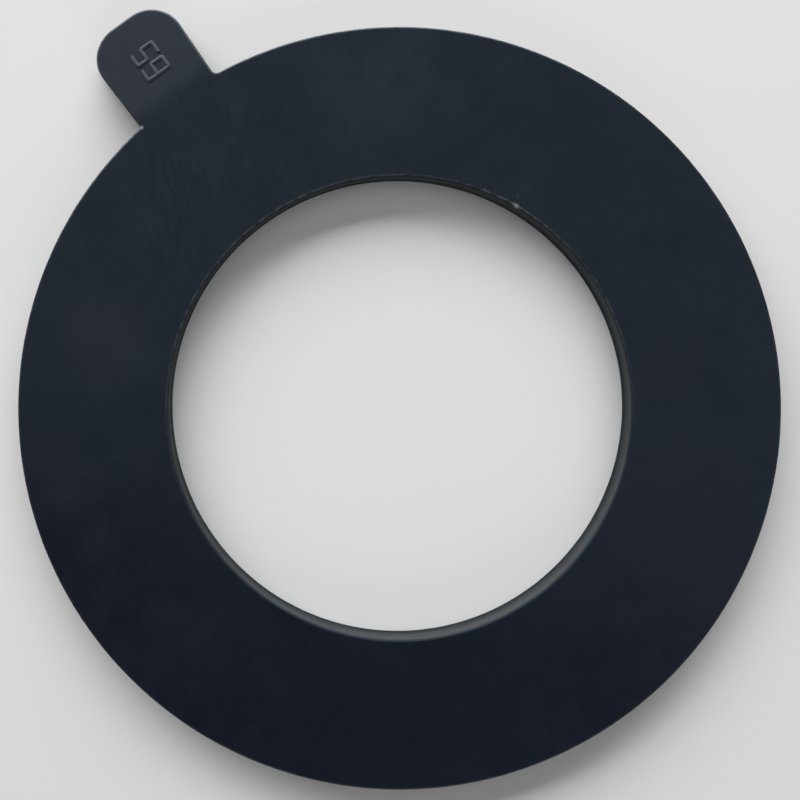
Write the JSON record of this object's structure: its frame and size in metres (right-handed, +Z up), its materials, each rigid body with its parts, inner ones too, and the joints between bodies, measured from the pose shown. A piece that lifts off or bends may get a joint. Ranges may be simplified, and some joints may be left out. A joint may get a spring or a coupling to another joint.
{
  "type": "flange gasket",
  "caption": "Flat ring of dark rubber with a short pull tab, clamped between two pipe flanges to seal the joint.",
  "frame": {"origin": "on the plane of the lower face, below the middle of the outline of ring and tab together", "axes": "+Z up, parallel to the axis of the bore, out of the face with the number; +Y from the ring towards the tab. The axis of the bore stands at x = 0, y = -0.00805 m."},
  "size_m": [0.127, 0.143, 0.004],
  "materials": {
    "rubber": "satin, with a faint grey bloom"
  },
  "bodies": {
    "root": {"gasket": "rubber"}
  },
  "joints": []
}
